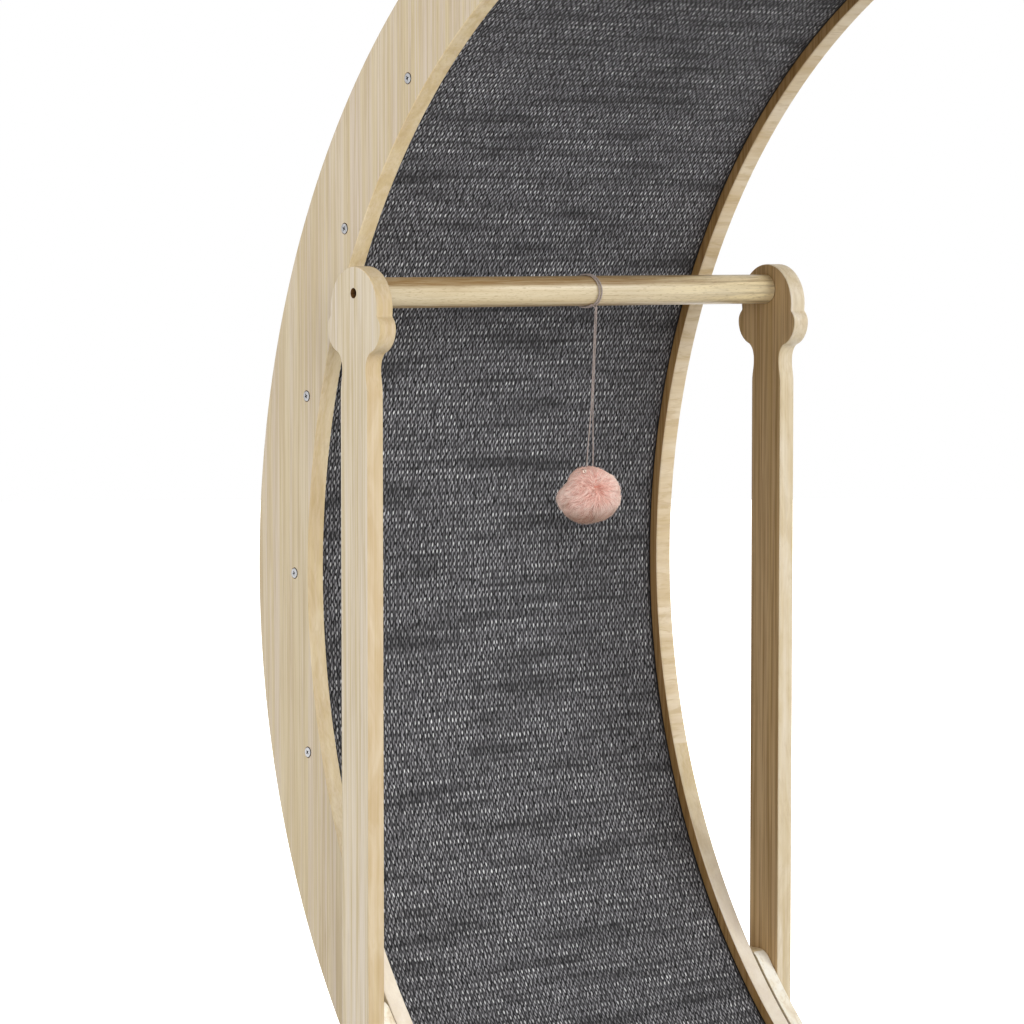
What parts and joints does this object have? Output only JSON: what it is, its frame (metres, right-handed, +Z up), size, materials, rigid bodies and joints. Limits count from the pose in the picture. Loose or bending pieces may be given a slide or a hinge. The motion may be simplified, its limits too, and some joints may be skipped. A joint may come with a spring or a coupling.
{
  "type": "cat exercise wheel",
  "caption": "Wooden cat exercise wheel: a carpeted drum between two rings, running on flanged rollers in a cheeked base, with a bar and a hanging pompom toy.",
  "frame": {"origin": "on the floor, under the middle of the wheel", "axes": "X along the wheel's axis, +Y towards the back, where the posts and the toy bar stand, +Z up"},
  "size_m": [0.3526, 1, 1.03],
  "materials": {
    "pale_wood": "clear satin lacquer on pale straight-grained wood",
    "plywood": "bare thin bending plywood",
    "batten_wood": "bare planed softwood",
    "woven_mat": "woven dark grey carpet with light flecks",
    "steel": "zinc-plated steel",
    "dark_nylon": "moulded black nylon",
    "foot_rubber": "matt black rubber",
    "toy_string": "thin grey elastic cord",
    "pink_fur": "short soft fur"
  },
  "bodies": {
    "base": {"cheek_left": "pale_wood", "cheek_right": "pale_wood", "post_left": "pale_wood", "post_right": "pale_wood", "stretcher_front": "pale_wood", "stretcher_back": "pale_wood", "toy_bar": "pale_wood", "foot_front_left": "foot_rubber", "foot_front_right": "foot_rubber", "foot_back_left": "foot_rubber", "foot_back_right": "foot_rubber", "axle_front": "steel", "axle_back": "steel", "axle_spacer_front": "steel", "axle_spacer_back": "steel", "cap_nut_front_left": "steel", "cap_nut_front_right": "steel", "cap_nut_back_left": "steel", "cap_nut_back_right": "steel"},
    "wheel": {"ring_left": "pale_wood", "ring_right": "pale_wood", "running_mat": "woven_mat", "drum_liner": "plywood", "batten_01": "batten_wood", "batten_02": "batten_wood", "batten_03": "batten_wood", "batten_04": "batten_wood", "batten_05": "batten_wood", "batten_06": "batten_wood", "batten_07": "batten_wood", "batten_08": "batten_wood", "batten_09": "batten_wood", "batten_10": "batten_wood", "batten_11": "batten_wood", "batten_12": "batten_wood", "batten_13": "batten_wood", "batten_14": "batten_wood", "batten_15": "batten_wood", "batten_16": "batten_wood", "batten_17": "batten_wood", "batten_18": "batten_wood", "batten_19": "batten_wood", "batten_20": "batten_wood", "batten_21": "batten_wood", "batten_22": "batten_wood", "batten_23": "batten_wood", "batten_24": "batten_wood"},
    "front_left_roller": {"roller_front_left": "dark_nylon", "bearing_front_left": "steel"},
    "front_right_roller": {"roller_front_right": "dark_nylon", "bearing_front_right": "steel"},
    "back_left_roller": {"roller_back_left": "dark_nylon", "bearing_back_left": "steel"},
    "back_right_roller": {"roller_back_right": "dark_nylon", "bearing_back_right": "steel"},
    "toy_loop": {"string_loop": "toy_string"},
    "toy_knot": {"string_knot": "toy_string"},
    "toy_drop": {"string_drop": "toy_string", "pompom": "pink_fur"}
  },
  "joints": [
    {"name": "wheel_spin", "type": "hinge", "parent": "base", "child": "wheel", "pos_m": [0, 0, 0.53], "axis": [1, 0, 0], "continuous": true},
    {"name": "front_left_roller_spin", "type": "hinge", "parent": "base", "child": "front_left_roller", "pos_m": [-0.1447, -0.26265, 0.07508], "axis": [1, 0, 0], "continuous": true},
    {"name": "front_right_roller_spin", "type": "hinge", "parent": "base", "child": "front_right_roller", "pos_m": [0.1447, -0.26265, 0.07508], "axis": [1, 0, 0], "continuous": true},
    {"name": "back_left_roller_spin", "type": "hinge", "parent": "base", "child": "back_left_roller", "pos_m": [-0.1447, 0.26265, 0.07508], "axis": [1, 0, 0], "continuous": true},
    {"name": "back_right_roller_spin", "type": "hinge", "parent": "base", "child": "back_right_roller", "pos_m": [0.1447, 0.26265, 0.07508], "axis": [1, 0, 0], "continuous": true},
    {"name": "toy_slide", "type": "slide", "parent": "base", "child": "toy_loop", "axis": [1, 0, 0], "range_m": [-0.11, 0.088]},
    {"name": "toy_swing", "type": "hinge", "parent": "toy_loop", "child": "toy_knot", "pos_m": [0.0114, 0.34921, 0.71693], "axis": [1, 0, 0], "range_deg": [-80, 25]},
    {"name": "toy_sway", "type": "hinge", "parent": "toy_knot", "child": "toy_drop", "pos_m": [0.0114, 0.34141, 0.70537], "axis": [0, 1, 0], "range_deg": [-18, 18]}
  ],
  "couplings": [
    {"joint": "front_left_roller_spin", "follows": "wheel_spin", "ratio": -20},
    {"joint": "front_right_roller_spin", "follows": "wheel_spin", "ratio": -20},
    {"joint": "back_left_roller_spin", "follows": "wheel_spin", "ratio": -20},
    {"joint": "back_right_roller_spin", "follows": "wheel_spin", "ratio": -20}
  ]
}
